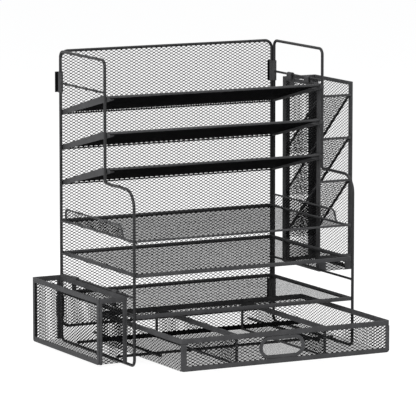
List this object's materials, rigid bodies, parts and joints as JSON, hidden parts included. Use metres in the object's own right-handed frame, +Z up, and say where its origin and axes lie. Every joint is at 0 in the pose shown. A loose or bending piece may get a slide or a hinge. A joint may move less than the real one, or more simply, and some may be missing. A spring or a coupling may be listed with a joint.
{
  "type": "desktop file organizer",
  "caption": "Stepped wire desk organizer with sloping and level mesh letter trays, a sliding mesh drawer, a side basket and a side pen holder.",
  "frame": {"origin": "On the floor, midway between the two side frames and midway along their feet.", "axes": "+X to the object's right as seen from its front, +Y from its front to its back panel, +Z up."},
  "size_m": [0.431, 0.3463, 0.4007],
  "materials": {
    "wire": "black satin powder coat on steel wire",
    "hem": "black satin powder coat on folded steel strip",
    "mesh": "black satin powder coat on expanded steel mesh"
  },
  "bodies": {
    "frame": {"left_side_frame": "wire", "right_side_frame": "wire", "left_upper_rail": "wire", "left_lower_rail": "wire", "right_upper_rail": "wire", "right_lower_rail": "wire", "front_floor_bar": "wire", "rear_floor_bar": "wire", "drawer_runners": "wire", "back_panel_wire": "wire", "back_panel_mesh": "mesh", "panel_clips": "hem", "upper_tray_1_rim": "hem", "upper_tray_1_mesh": "mesh", "upper_tray_2_rim": "hem", "upper_tray_2_mesh": "mesh", "upper_tray_3_rim": "hem", "upper_tray_3_mesh": "mesh", "lower_tray_1_rim": "hem", "lower_tray_1_mesh": "mesh", "lower_tray_1_left_guard": "mesh", "lower_tray_1_right_guard": "mesh", "lower_tray_2_rim": "hem", "lower_tray_2_mesh": "mesh", "lower_tray_3_rim": "hem", "lower_tray_3_mesh": "mesh"},
    "drawer": {"drawer_top_band": "hem", "drawer_front_band": "hem", "drawer_slot_ring": "hem", "drawer_front_mesh": "mesh", "drawer_left_mesh": "mesh", "drawer_right_mesh": "mesh", "drawer_rear_mesh": "mesh", "drawer_floor_mesh": "mesh", "drawer_left_divider": "hem", "drawer_right_divider": "hem"},
    "basket": {"basket_outer_band": "hem", "basket_inner_band": "hem", "basket_cross_bands": "hem", "basket_outer_mesh": "mesh", "basket_inner_mesh": "mesh", "basket_front_mesh": "mesh", "basket_rear_mesh": "mesh", "basket_floor_mesh": "mesh", "basket_hooks": "hem"},
    "holder": {"holder_outer_band": "hem", "holder_inner_band": "hem", "holder_outer_mesh": "mesh", "holder_inner_mesh": "mesh", "holder_rear_mesh": "mesh", "holder_floor_mesh": "mesh", "holder_front_lip": "hem", "holder_chute_1": "mesh", "holder_chute_2": "mesh", "holder_chute_3": "mesh", "holder_hooks": "hem"}
  },
  "joints": [
    {"name": "drawer_slide", "type": "slide", "parent": "frame", "child": "drawer", "axis": [0, -1, 0], "range_m": [-0.1, 0.075]},
    {"name": "basket_lift", "type": "slide", "parent": "frame", "child": "basket", "axis": [0, 0, 1], "range_m": [0, 0.016]},
    {"name": "holder_lift", "type": "slide", "parent": "frame", "child": "holder", "axis": [0, 0, 1], "range_m": [0, 0.025]}
  ]
}
